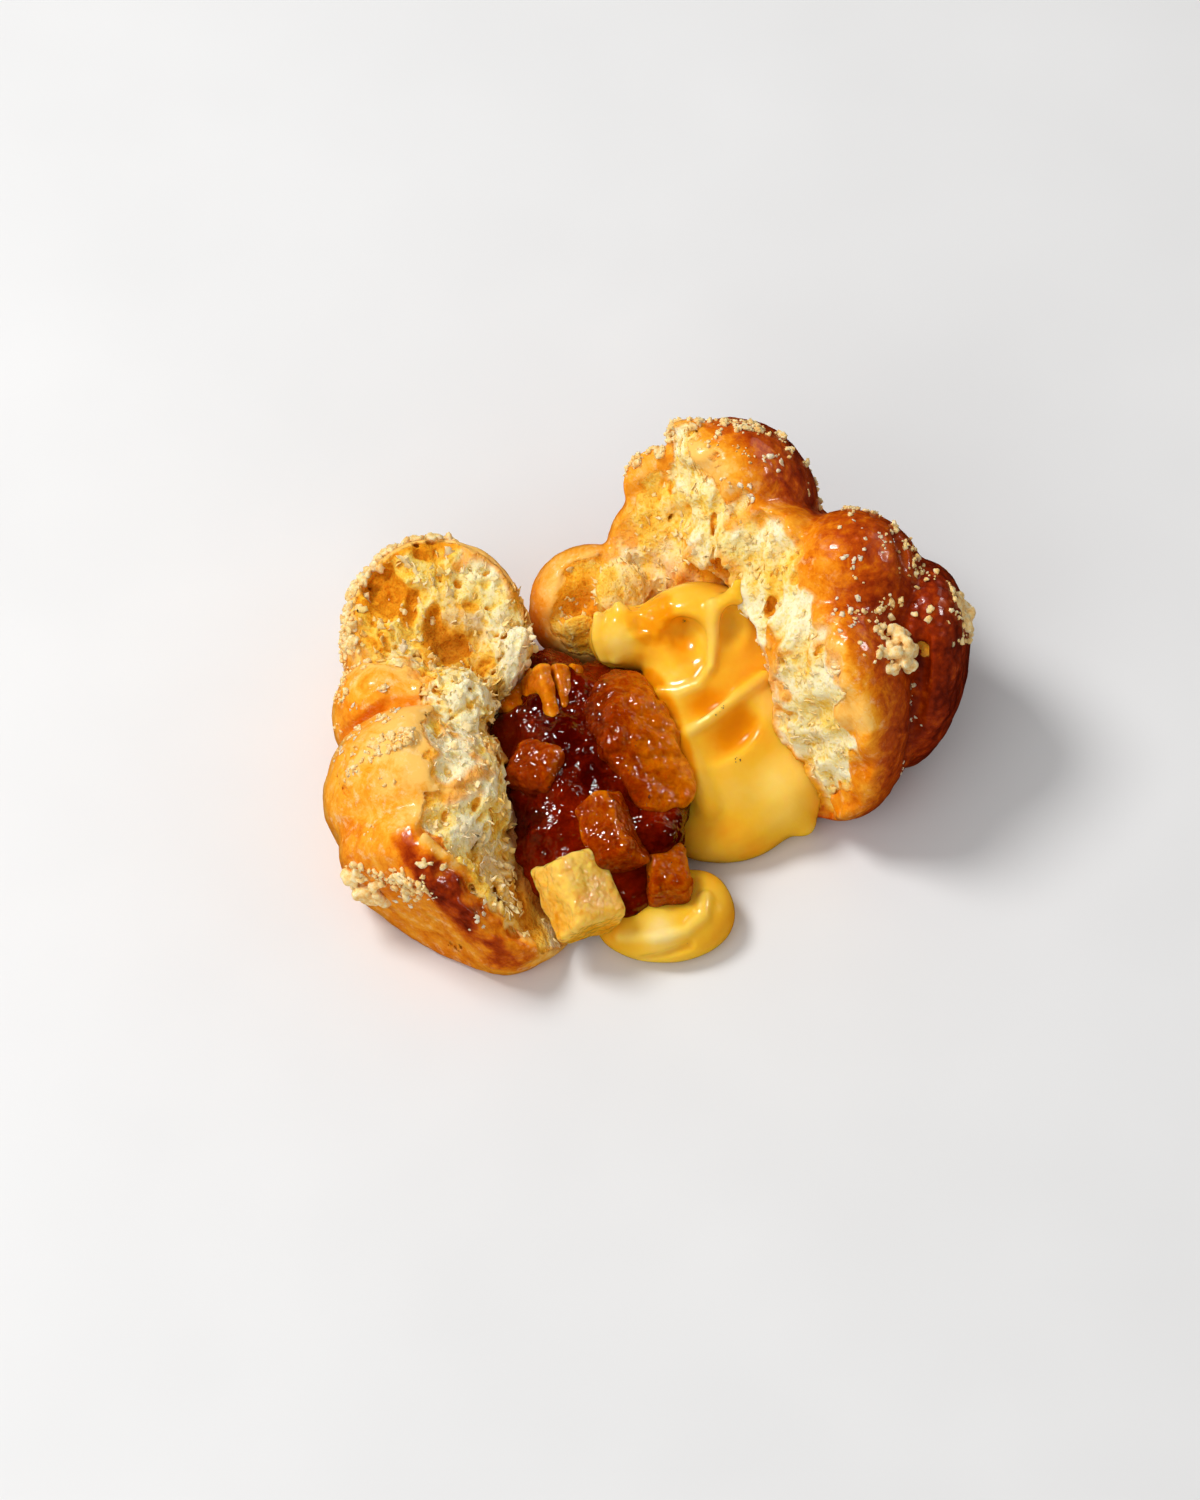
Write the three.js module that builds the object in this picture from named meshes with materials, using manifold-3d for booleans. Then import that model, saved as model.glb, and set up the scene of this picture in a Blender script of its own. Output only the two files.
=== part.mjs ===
// Apple crumble brioche, torn open by hand: two bread halves lie with their torn faces up,
// round custard cream and apple compote with dice of cooked apple.
// Millimetres, +Z up, the left half towards -X, the open front towards -Y, resting on Z = 0.
import * as THREE from 'three';
import { mergeVertices } from 'three/addons/utils/BufferGeometryUtils.js';
import { RoundedBoxGeometry } from 'three/addons/geometries/RoundedBoxGeometry.js';
import Module from 'manifold-3d';

const wasm = await Module();
wasm.setup();

// Fits and fineness
const GAP = 0.35; // clearance that each piece keeps to its neighbours
const LOBE_ROUND = 16; // facets round a bread lobe
const LOBE_TALL = 10; // facets from its top to its bottom
const FILLING_ROUND = 9;
const FILLING_TALL = 6;
const TEAR_SIZE = 72; // side of the block that tears a face off a lobe
const TEAR_CELLS = 6;

// Unevenness, as heights
const CRUST_UNEVEN = 0.25; // baked skin
const TORN_UNEVEN = 1.0; // torn crumb
const CREAM_UNEVEN = 0.5; // spooned filling
const UNEVEN_LENGTH = 4.0; // length that the unevenness is drawn at

// The point that becomes the part's origin: the middle of its footprint, on the table
const ORIGIN = new THREE.Vector3(1.82, -0.7, 0);

// Left half: three torn lobes of the bun's ring on one baked foot, with a fold and a tuft of crumb
const LEFT_LOBES = [
  {
    centre: [-41, 16, 18],
    radii: [19.5, 19.5, 25],
    tears: [
      { at: [-56, 16, 31], facing: [0.12, -0.38, 0.9] },
      { at: [-26.4, 12.3, 28.2], facing: [0.8, -0.2, 0.56] },
    ],
  },
  { centre: [-50.5, -1, 17], radii: [11.5, 12, 14] },
  { centre: [-37, -4, 24.5], radii: [8, 8, 9] },
  {
    centre: [-43.5, -19.5, 16],
    radii: [20, 17, 21.5],
    tears: [{ at: [-46, -18, 38], facing: [0.62, 0.05, 0.78] }],
  },
  {
    centre: [-33, -36.5, 14],
    radii: [28, 24.5, 20],
    tears: [{ at: [-40.5, -33, 29.5], facing: [0.7, -0.02, 0.71] }],
    flats: [
      { at: [-44, -45, 2], facing: [-0.5, -0.86, -0.05] },
      { at: [-18, -51.5, 2], facing: [0.5, -0.86, -0.05] },
    ],
  },
  { centre: [-40, -9, 4], radii: [17, 32, 10] },
];
const LEFT_HOLLOW = { centre: [-6, -13, 22], radii: [22, 31, 18] };

// Right half: the bun's higher side, a wall round the custard
const RIGHT_LOBES = [
  {
    centre: [18, 38, 35],
    radii: [18, 17, 20],
    tears: [
      { at: [22, 28.6, 51], facing: [-0.52, -0.7, 0.5] },
      { at: [9, 40, 48], facing: [-0.97, -0.2, 0.1] },
    ],
  },
  {
    centre: [10, 44, 36],
    radii: [9, 9, 17],
    tears: [
      { at: [22, 28.6, 51], facing: [-0.52, -0.7, 0.5] },
      { at: [9, 40, 48], facing: [-0.97, -0.2, 0.1] },
    ],
  },
  {
    centre: [40, -1, 23],
    radii: [16, 23, 27],
    tears: [
      { at: [37, -4, 47], facing: [-0.8, -0.35, 0.48] },
      { at: [39, -17, 22], facing: [-0.66, -0.73, 0.18] },
    ],
  },
  {
    centre: [42, 16, 33.5],
    radii: [16, 16, 22],
    tears: [{ at: [37, -4, 47], facing: [-0.8, -0.35, 0.48] }],
  },
  { centre: [54.5, 9, 21.5], radii: [11, 19.5, 24.5], tilt: [0, 9, 0] },
  {
    centre: [26, 20, 28],
    radii: [20, 18, 24],
    tears: [{ at: [34, 15, 49], facing: [-0.55, -0.5, 0.67] }],
  },
  {
    centre: [6, 38, 18],
    radii: [13, 12, 19],
    tears: [{ at: [0, 40, 32], facing: [-0.1, -0.75, 0.66] }],
  },
  {
    centre: [3, 44, 34],
    radii: [6.5, 6, 11],
    tears: [{ at: [0, 40, 32], facing: [-0.1, -0.75, 0.66] }],
  },
  {
    centre: [-9, 30, 11],
    radii: [14, 12, 15],
    tears: [{ at: [-9, 27.5, 18], facing: [0.3, -0.72, 0.62] }],
  },
  { centre: [22, 37, 14], radii: [22, 17, 19] },
  { centre: [41, 31, 15], radii: [15, 14, 17] },
  { centre: [26, 12, 5], radii: [32, 30, 10] },
];
const RIGHT_HOLLOW = { centre: [6, -8, 26], radii: [21, 36, 22] };

// Custard cream: a sloping pool, its rise up the back wall, a smear, a blob and the front lip
const CUSTARD_MOUNDS = [
  { centre: [17, -2.5, 12], radii: [18, 25, 11], tilt: [28, 0, 8] },
  { centre: [12, 16, 23], radii: [13, 9, 11] },
  { centre: [-3.5, 15.5, 21], radii: [7, 6, 8] },
  { centre: [29.5, -13.5, 8], radii: [7, 7.5, 8] },
  { centre: [15, -20, 5], radii: [12, 6.5, 5] },
];
const DOLLOP_MOUNDS = [
  { centre: [4.2, -40.5, 3.5], radii: [13.5, 10, 5.5] },
  { centre: [11, -38.5, 4.5], radii: [7, 8, 5] },
];
const COMPOTE_MOUNDS = [
  { centre: [-10, -15, 10.5], radii: [20, 30, 11.5], tilt: [6, 0, 0] },
  { centre: [-18, 1.5, 11.5], radii: [10, 16, 9] },
];

// Apple: dice with worn corners, and one long lump cooked dark and soft
const DICE_ROUNDING = 1.8;
const DICE_FACETS = 1;
const DICE_TAPER = 0.14; // how much narrower a piece is at its top than at its foot
const APPLE_DICE = [
  { name: 'apple_dice_front', centre: [-12, -40.8, 13.4], size: [12.4, 15.6, 10.5], tilt: [24, 18, 30] },
  { name: 'apple_dice_middle', centre: [-5.9, -29.6, 18], size: [9.2, 16, 10], tilt: [12, -36, 12] },
  { name: 'apple_dice_left', centre: [-20, -14.8, 16.5], size: [12, 12, 12], tilt: [10, -15, -25] },
  { name: 'apple_slice_back', centre: [-16.8, 2.6, 17], size: [11.4, 14, 10], tilt: [15, 25, 20] },
  { name: 'apple_sliver_back', centre: [-24, 5, 13], size: [8, 12, 10], tilt: [0, 20, -30] },
  { name: 'apple_dice_right', centre: [5, -34.8, 10.5], size: [9.6, 12.5, 11], tilt: [4, 6, 8] },
];
const APPLE_LUMP = [
  { centre: [-3, -1.5, 19.5], radii: [8.5, 9.5, 7.5] },
  { centre: [-0.5, -10.5, 20.5], radii: [8, 9, 7.5] },
  { centre: [3.5, -18, 19.5], radii: [6.5, 8.5, 7] },
];

// Clumps of crumble topping, each as large as a berry
const CLUMP_ROUND = 8;
const CLUMP_TALL = 5;
const CLUMP_UNEVEN = 0.7;
const CRUMBLE_CLUMPS = [
  { name: 'crumble_clump_ridge', centre: [50, -3, 43], radii: [5.5, 6, 4.5] },
  { name: 'crumble_clump_right', centre: [62.5, 10, 35.5], radii: [4.5, 6.5, 6.5] },
  { name: 'crumble_clump_left', centre: [-53, -38, 14], radii: [6.5, 5.5, 5.5] },
];

const MATERIALS = {
  bread: new THREE.MeshStandardMaterial({ color: 0xc9782c, roughness: 0.45, metalness: 0 }),
  custard: new THREE.MeshStandardMaterial({ color: 0xf2c14e, roughness: 0.2, metalness: 0 }),
  compote: new THREE.MeshStandardMaterial({ color: 0x8a3410, roughness: 0.15, metalness: 0 }),
  apple: new THREE.MeshStandardMaterial({ color: 0xd9932f, roughness: 0.2, metalness: 0 }),
  darkApple: new THREE.MeshStandardMaterial({ color: 0xb5581a, roughness: 0.15, metalness: 0 }),
  crumble: new THREE.MeshStandardMaterial({ color: 0xd8a05a, roughness: 0.8, metalness: 0 }),
};

// A smooth wandering height between about -1.6 and 1.6, the same for every piece at a point
function unevenness(point) {
  const x = point.x / UNEVEN_LENGTH;
  const y = point.y / UNEVEN_LENGTH;
  const z = point.z / UNEVEN_LENGTH;
  const along = Math.sin(x * 1.7 + Math.sin(y * 1.3 + 1.1) * 1.2);
  const across = Math.sin(y * 1.9 + Math.sin(z * 1.5) * 1.1 + 0.7);
  const upward = Math.sin(z * 2.3 + x * 1.1 + 2.1) * Math.sin(x * 2.9 - y * 2.1);
  return along * across + 0.6 * upward;
}

function toSolid(geometry) {
  const bare = geometry.clone();
  bare.deleteAttribute('normal');
  bare.deleteAttribute('uv');
  const merged = mergeVertices(bare, 1e-4);
  const mesh = new wasm.Mesh({
    numProp: 3,
    vertProperties: Float32Array.from(merged.attributes.position.array),
    triVerts: Uint32Array.from(merged.index.array),
  });
  return new wasm.Manifold(mesh);
}

function turnOf(tilt = [0, 0, 0]) {
  const [x, y, z] = tilt.map(THREE.MathUtils.degToRad);
  return new THREE.Quaternion().setFromEuler(new THREE.Euler(x, y, z, 'ZYX'));
}

// An uneven ellipsoid. grow moves its whole skin outwards by that much.
function mound({ centre, radii, tilt }, grow, uneven, round, tall) {
  const geometry = new THREE.SphereGeometry(1, round, tall);
  const place = geometry.attributes.position;
  const reach = new THREE.Vector3(...radii);
  const middle = new THREE.Vector3(...centre);
  const turn = turnOf(tilt);
  for (let i = 0; i < place.count; i += 1) {
    const direction = new THREE.Vector3().fromBufferAttribute(place, i).normalize();
    const out = direction.clone().divide(reach).normalize().applyQuaternion(turn);
    const point = direction.multiply(reach).applyQuaternion(turn).add(middle);
    point.addScaledVector(out, grow + uneven * unevenness(point));
    place.setXYZ(i, point.x, point.y, point.z);
  }
  return toSolid(geometry);
}

// A block that lies on the outer side of a plane. Its face on the plane is uneven.
function tearBlock({ at, facing }, grow, uneven) {
  const geometry = new THREE.BoxGeometry(TEAR_SIZE, TEAR_SIZE, TEAR_SIZE, TEAR_CELLS, TEAR_CELLS, 1);
  const place = geometry.attributes.position;
  const out = new THREE.Vector3(...facing).normalize();
  const turn = new THREE.Quaternion().setFromUnitVectors(new THREE.Vector3(0, 0, 1), out);
  for (let i = 0; i < place.count; i += 1) {
    const onFace = place.getZ(i) < 0;
    const point = new THREE.Vector3().fromBufferAttribute(place, i);
    point.z += TEAR_SIZE / 2;
    point.applyQuaternion(turn).add(new THREE.Vector3(...at));
    point.addScaledVector(out, grow - (onFace ? uneven * unevenness(point) : 0));
    place.setXYZ(i, point.x, point.y, point.z);
  }
  return toSolid(geometry);
}

function lobe(shape, grow) {
  let solid = mound(shape, grow, CRUST_UNEVEN, LOBE_ROUND, LOBE_TALL);
  for (const flat of shape.flats ?? []) {
    solid = solid.subtract(tearBlock(flat, grow, CRUST_UNEVEN));
  }
  for (const tear of shape.tears ?? []) {
    solid = solid.subtract(tearBlock(tear, grow, TORN_UNEVEN));
  }
  return solid;
}

function joined(solids) {
  return solids.reduce((whole, solid) => whole.add(solid));
}

// Everything below the table
function belowTable() {
  const slab = new THREE.BoxGeometry(400, 400, 80);
  slab.translate(0, 0, -40);
  return toSolid(slab);
}

function breadHalf(lobes, hollow, grow) {
  const whole = joined(lobes.map((shape) => lobe(shape, grow)));
  return whole.subtract(mound(hollow, -grow, TORN_UNEVEN * 0.7, LOBE_ROUND, LOBE_TALL));
}

function filling(mounds, grow) {
  return joined(mounds.map((shape) => mound(shape, grow, CREAM_UNEVEN, FILLING_ROUND, FILLING_TALL)));
}

function appleDice({ centre, size, tilt }, grow) {
  const [wide, deep, high] = size.map((side) => side + 2 * grow);
  const geometry = new RoundedBoxGeometry(wide, deep, high, DICE_FACETS, DICE_ROUNDING);
  const place = geometry.attributes.position;
  for (let i = 0; i < place.count; i += 1) {
    const narrowing = 1 - (DICE_TAPER * place.getZ(i)) / high;
    place.setXY(i, place.getX(i) * narrowing, place.getY(i) * narrowing);
  }
  geometry.applyQuaternion(turnOf(tilt));
  geometry.translate(...centre);
  return toSolid(geometry);
}

// The largest connected body of a solid, which drops slivers that a cut leaves
function largest(solid) {
  const bodies = solid.decompose();
  return bodies.reduce((best, body) => (body.volume() > best.volume() ? body : best));
}

function toMesh(name, solid, material) {
  const { vertProperties, triVerts } = largest(solid).getMesh();
  const geometry = new THREE.BufferGeometry();
  geometry.setAttribute('position', new THREE.BufferAttribute(vertProperties, 3));
  geometry.setIndex(new THREE.BufferAttribute(triVerts, 1));
  const mesh = new THREE.Mesh(geometry, material);
  mesh.name = name;
  return mesh;
}

const table = belowTable();
const breadShapes = [
  (grow) => breadHalf(LEFT_LOBES, LEFT_HOLLOW, grow),
  (grow) => breadHalf(RIGHT_LOBES, RIGHT_HOLLOW, grow),
];
const [breadLeft, breadRight] = breadShapes.map((shape) => shape(0).subtract(table));
const breadsAndGap = joined(breadShapes.map((shape) => shape(GAP)));

// Apple sits in the compote, the compote against the custard, and the bread holds them all
const taken = { solid: breadsAndGap.add(table) };
function placed(shape) {
  const solid = shape(0).subtract(taken.solid);
  taken.solid = taken.solid.add(shape(GAP));
  return solid;
}

const dice = APPLE_DICE.map((shape) => toMesh(
  shape.name,
  placed((grow) => appleDice(shape, grow)),
  MATERIALS.apple,
));
const lump = toMesh('apple_lump_dark', placed((grow) => filling(APPLE_LUMP, grow)), MATERIALS.darkApple);
const compote = toMesh('compote', placed((grow) => filling(COMPOTE_MOUNDS, grow)), MATERIALS.compote);
const custard = toMesh('custard', placed((grow) => filling(CUSTARD_MOUNDS, grow)), MATERIALS.custard);
const dollop = toMesh('custard_dollop', placed((grow) => filling(DOLLOP_MOUNDS, grow)), MATERIALS.custard);
const clumps = CRUMBLE_CLUMPS.map((shape) => toMesh(
  shape.name,
  placed((grow) => mound(shape, grow, CLUMP_UNEVEN, CLUMP_ROUND, CLUMP_TALL)),
  MATERIALS.crumble,
));

const brioche = new THREE.Group();
brioche.add(
  toMesh('bread_left', breadLeft, MATERIALS.bread),
  toMesh('bread_right', breadRight, MATERIALS.bread),
  custard,
  dollop,
  compote,
  lump,
  ...dice,
  ...clumps,
);
brioche.position.copy(ORIGIN).negate();

export default brioche;
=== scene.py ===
"""Looks of an apple crumble brioche, torn open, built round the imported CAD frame.

Each piece is a field of signed distances that is negative inside it. The fields share their lobes,
mounds and dice with the CAD part. They are sampled on a grid, meshed, and given node materials.
Lengths in this script are millimetres; a mesh is turned into metres where it is made.
"""
import math

import bmesh
import bpy
import numpy as np
import openvdb as vdb
from mathutils import Matrix, Vector
from mathutils.bvhtree import BVHTree


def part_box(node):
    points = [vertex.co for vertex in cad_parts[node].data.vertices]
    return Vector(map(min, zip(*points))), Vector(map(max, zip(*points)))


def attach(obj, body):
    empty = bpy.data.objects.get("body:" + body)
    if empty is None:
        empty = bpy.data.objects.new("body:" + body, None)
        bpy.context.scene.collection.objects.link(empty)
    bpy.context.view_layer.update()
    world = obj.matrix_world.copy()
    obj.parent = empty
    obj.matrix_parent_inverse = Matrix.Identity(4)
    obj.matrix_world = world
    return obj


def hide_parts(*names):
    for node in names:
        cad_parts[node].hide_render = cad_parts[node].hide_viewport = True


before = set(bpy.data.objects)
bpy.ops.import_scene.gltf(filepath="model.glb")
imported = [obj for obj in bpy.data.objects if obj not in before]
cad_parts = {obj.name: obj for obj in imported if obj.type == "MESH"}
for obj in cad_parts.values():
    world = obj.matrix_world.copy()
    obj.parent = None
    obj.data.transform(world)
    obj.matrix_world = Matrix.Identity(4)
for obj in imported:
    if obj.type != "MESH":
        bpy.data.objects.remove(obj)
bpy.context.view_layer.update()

MM = 0.001  # metres
SEED = 20
ORIGIN = (1.82, -0.7, 0.0)  # the point of the lobes' own coordinates that is the part's origin
BREAD_VOXEL = 0.38
FILLING_VOXEL = 0.4
BREAD_FACES = 190000
POOL_FACES = 60000  # the custard pool and the compote
LUMP_FACES = 36000
SMALL_FACES = 16000  # the dollop and the clumps
DICE_FACES = 14000
GRANULE_FINE = 2  # subdivisions of an icosphere
SHRED_ROWS = 5
BLOCK = 8  # voxels along each side of a block of the grid
NEAR = 4.5  # a block this far from the surface, beyond its own reach, is left empty or full
BATCH = 160  # blocks sampled together
CRUST_THICKNESS = 1.1
SHRED_THICKNESS = 0.16

# ---------------- fields


def turn(tilt):
    """The rotation by tilt degrees about X, then Y, then Z, as rows that local = offset @ turn uses."""
    x, y, z = (math.radians(a) for a in tilt)
    matrix = Matrix.Rotation(z, 3, "Z") @ Matrix.Rotation(y, 3, "Y") @ Matrix.Rotation(x, 3, "X")
    return np.array(matrix, np.float32)


def at(point):
    """Where a point of the layout is in the part's frame."""
    return np.array(point, np.float32) - np.array(ORIGIN, np.float32)


def norms(rows):
    return np.sqrt(np.einsum("ij,ij->i", rows, rows))


def away(p, centre, radius):
    """Distance from a point of the layout, as a share of radius."""
    return np.linalg.norm(p - at(centre), axis=1) / radius


def unit(rows):
    return rows / np.linalg.norm(rows, axis=1, keepdims=True)


def ellipsoid(p, centre, radii, tilt=None):
    offset = p - at(centre)
    if tilt is not None:
        offset = offset @ turn(tilt)
    scaled = offset / np.array(radii, np.float32)
    reach = norms(scaled)
    slope = norms(scaled / np.array(radii, np.float32))
    return reach * (reach - 1) / np.maximum(slope, 1e-6)


def beyond(p, point, facing):
    """Signed distance past a plane, on the side that facing points to."""
    normal = np.array(Vector(facing).normalized(), np.float32)
    return (p - at(point)) @ normal


def rounded_box(p, centre, size, tilt, taper, rounding):
    local = (p - at(centre)) @ turn(tilt)
    narrowing = 1 - taper * local[:, 2] / size[2]
    local[:, 0] /= narrowing
    local[:, 1] /= narrowing
    q = np.abs(local) - (np.array(size, np.float32) / 2 - rounding)
    outside = np.linalg.norm(np.maximum(q, 0), axis=1)
    return outside + np.minimum(q.max(axis=1), 0) - rounding


def stroke(p, points, radius, ending=None):
    """Distance to a bent rod through the points. Its radius goes from radius to ending."""
    ending = radius if ending is None else ending
    best = np.full(len(p), 1e3, np.float32)
    spans = len(points) - 1
    for i in range(spans):
        a, b = at(points[i]), at(points[i + 1])
        along = np.clip((p - a) @ (b - a) / ((b - a) @ (b - a)), 0, 1)
        here = radius + (ending - radius) * (i + along) / spans
        gap = p - a - along[:, None] * (b - a)
        best = np.minimum(best, norms(gap) - here)
    return best


def join(a, b, blend):
    """Both, with the crease between them rounded."""
    share = np.maximum(blend - np.abs(a - b), 0) / blend
    return np.minimum(a, b) - share * share * blend * 0.25


def cut(a, b, blend):
    """What is left of a after b, a field that is negative in what goes, is taken away."""
    return -join(-a, b, blend)


def trim(a, b, blend):
    """The part of a that is also in b."""
    return -join(-a, -b, blend)


def step(low, high, x):
    t = np.clip((x - low) / (high - low), 0, 1)
    return t * t * (3 - 2 * t)


# ---------------- noise

LATTICE = 32
draws = np.random.default_rng(SEED)
HEIGHTS = draws.uniform(-1, 1, (LATTICE,) * 3).astype(np.float32)
JITTERS = draws.uniform(-0.36, 0.36, (LATTICE, LATTICE, LATTICE, 3)).astype(np.float32)
CORNERS = np.array([(i, j, k) for i in (0, 1) for j in (0, 1) for k in (0, 1)])


def unevenness(p, length):
    """The CAD part's wandering height, between about -1.6 and 1.6."""
    x, y, z = (p + np.array(ORIGIN, np.float32)).T / length
    along = np.sin(x * 1.7 + np.sin(y * 1.3 + 1.1) * 1.2)
    across = np.sin(y * 1.9 + np.sin(z * 1.5) * 1.1 + 0.7)
    upward = np.sin(z * 2.3 + x * 1.1 + 2.1) * np.sin(x * 2.9 - y * 2.1)
    return along * across + 0.6 * upward


def noise(p, length, salt=0.0):
    """Smooth random heights from -1 to 1 whose bumps are about length apart."""
    q = p / np.float32(length) + np.float32(7.31 * salt)
    cell = np.floor(q)
    f = q - cell
    f = f * f * (3 - 2 * f)
    cell = cell.astype(np.int32)
    total = np.zeros(len(p), np.float32)
    for corner in CORNERS:
        i, j, k = ((cell + corner) & (LATTICE - 1)).T
        weight = np.where(corner, f, 1 - f)
        total += HEIGHTS[i, j, k] * weight[:, 0] * weight[:, 1] * weight[:, 2]
    return total


def crests(p, length, salt=0.0):
    """Heights from 0 to 1 that peak along thin wandering crests."""
    return 1 - np.minimum(2.4 * np.abs(noise(p, length, salt)), 1)


def cells(p, length, salt=0.0):
    """Distances to the nearest and next of scattered centres that are about length apart."""
    q = p / np.float32(length) + np.float32(3.17 * salt)
    base = np.floor(q - 0.5).astype(np.int32)
    first = np.full(len(p), 9.0, np.float32)
    second = first.copy()
    for corner in CORNERS:
        cell = base + corner
        i, j, k = (cell & (LATTICE - 1)).T
        gap = cell + 0.5 + JITTERS[i, j, k] - q
        far = norms(gap).astype(np.float32)
        second = np.minimum(second, np.maximum(first, far))
        first = np.minimum(first, far)
    return first * length, second * length


# ---------------- meshing


def sample(field, low, high, voxel):
    """The field on a grid from low to high. Blocks far from the surface hold only its sign."""
    low = np.array(low, np.float32)
    counts = np.ceil((np.array(high) - low) / (voxel * BLOCK)).astype(int)
    side = voxel * BLOCK
    index = np.indices(counts).reshape(3, -1).T
    middle = field(low + (index + 0.5) * side)
    reach = side * math.sqrt(3) / 2 + NEAR
    far = np.where(middle > 0, reach, -reach).astype(np.float32).reshape(counts)
    grid = far.repeat(BLOCK, 0).repeat(BLOCK, 1).repeat(BLOCK, 2)
    inner = (np.indices((BLOCK,) * 3).reshape(3, -1).T * voxel).astype(np.float32)
    near = np.flatnonzero(np.abs(middle) < reach)
    for start in range(0, len(near), BATCH):
        chosen = index[near[start:start + BATCH]]
        corners = low + chosen * side
        points = (corners[:, None, :] + inner[None]).reshape(-1, 3).astype(np.float32)
        values = field(points).reshape(len(chosen), BLOCK, BLOCK, BLOCK)
        for (i, j, k), block in zip(chosen * BLOCK, values):
            grid[i:i + BLOCK, j:j + BLOCK, k:k + BLOCK] = block
    return grid


def surface(grid, low, voxel, adaptivity=0.0):
    """Points and faces of the grid's zero surface."""
    volume = vdb.FloatGrid()
    volume.copyFromArray(grid)
    points, triangles, quads = volume.convertToPolygons(isovalue=0.0, adaptivity=adaptivity)
    return points * voxel + np.array(low, np.float32), triangles, quads


def new_object(name, data):
    made = bpy.data.objects.new(name, data)
    bpy.context.scene.collection.objects.link(made)
    return made


def new_mesh(name, points, triangles, quads=()):
    mesh = bpy.data.meshes.new(name)
    corners = np.concatenate([np.ravel(triangles), np.ravel(quads)]).astype(np.int32)
    sizes = np.concatenate([np.full(len(triangles), 3), np.full(len(quads), 4)]).astype(np.int32)
    mesh.vertices.add(len(points))
    mesh.vertices.foreach_set("co", (np.asarray(points, np.float32) * MM).ravel())
    mesh.loops.add(len(corners))
    mesh.loops.foreach_set("vertex_index", corners)
    mesh.polygons.add(len(sizes))
    mesh.polygons.foreach_set("loop_start", np.concatenate([[0], np.cumsum(sizes)[:-1]]))
    mesh.update(calc_edges=True)
    mesh.validate()
    return new_object(name, mesh)


# ---------------- the bun's shapes

# A lobe is an ellipsoid. tears are the planes that it is torn along, each a point on the plane
# and the side that is gone, flats are sides pressed flat, and bake is how dark its crust is.
LEFT_LOBES = {
    "upper": dict(
        centre=(-41, 16, 18), radii=(19.5, 19.5, 25), bake=0.2,
        tears=[((-56, 16, 31), (0.12, -0.38, 0.9)), ((-26.4, 12.3, 28.2), (0.8, -0.2, 0.56))],
    ),
    "fold": dict(centre=(-50.5, -1, 17), radii=(11.5, 12, 14), bake=0.24),
    "tuft": dict(centre=(-37, -4, 24.5), radii=(8, 8, 9), bake=0.2, blend=6.0),
    "middle": dict(
        centre=(-43.5, -19.5, 16), radii=(20, 17, 21.5), bake=0.18,
        tears=[((-46, -18, 38), (0.62, 0.05, 0.78))],
    ),
    "lower": dict(
        centre=(-33, -36.5, 14), radii=(28, 24.5, 20), bake=0.34,
        tears=[((-40.5, -33, 29.5), (0.7, -0.02, 0.71))],
        flats=[((-44, -45, 2), (-0.5, -0.86, -0.05)), ((-18, -51.5, 2), (0.5, -0.86, -0.05))],
    ),
    "foot": dict(centre=(-40, -9, 4), radii=(17, 32, 10), bake=0.4),
}
LEFT_HOLLOW = ((-6, -13, 22), (22, 31, 18))  # centre and radii
# Tufts of crumb that the tear left standing, by centre and radii, and thin edges of crust that stand
# up along it.
LEFT_TUFTS = [
    ((-36, -23, 22.5), (9, 11.5, 8.5)),
    ((-26, 10.5, 23), (5.5, 4.5, 4.5)),
    ((-31, 3, 20), (4, 3.6, 4)),
]
LEFT_RIMS = [
    [
        (-42.5, -40, 32.4), (-38.5, -42.3, 29), (-34.5, -43, 24.4),
        (-30.3, -45.6, 20), (-26, -48, 15), (-22.5, -50, 11),
    ],
    [(-56, -22, 30.5), (-50, -20.5, 35), (-45, -19.5, 37.6)],
]
# Where the crust's edge lies other than by its depth: centre, radius, and a shift that bares the
# crumb if positive or grows crust over it if negative.
LEFT_PATCHES = [
    ((-24, 9, 22), 9, 3.0), ((-28, 1, 19), 6, 3.0), ((-30, 20, 22), 8, 1.2), ((-34.5, -4, 29), 9.5, 4.0),
    ((-45, -47, 30), 11, -9), ((-37, -50, 24), 8, -9), ((-31, -53, 18), 7, -9), ((-25, -55, 12), 6, -9),
]
LEFT_GROOVES = [[(-62.5, -9.5, 17), (-58, -9.2, 22.6), (-50.5, -7.2, 29.3), (-44, -7, 30)]]
LEFT_ROOT = (-34, 2, 12)  # the crumb's fibres fan out from here
# A pocket is a bubble that the tear opened: how ragged its wall is, its centre, radii and tilt.
LEFT_POCKETS = [
    (1.0, (-51.5, 18.5, 32.5), (4.6, 8.5, 4.6), (-12, 0, 12)),
    (1.0, (-46.2, 15.5, 30.5), (2.2, 4.8, 3.0), (0, 0, -12)),
    (1.6, (-38, 10, 28.5), (7.5, 4.4, 4.6), (0, 0, -38)),
    (1.0, (-41.2, 15.3, 29.2), (1.8, 2.4, 2.2)),
    (1.0, (-33, 17.5, 30.5), (2.4, 1.6, 2)),
]

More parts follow.
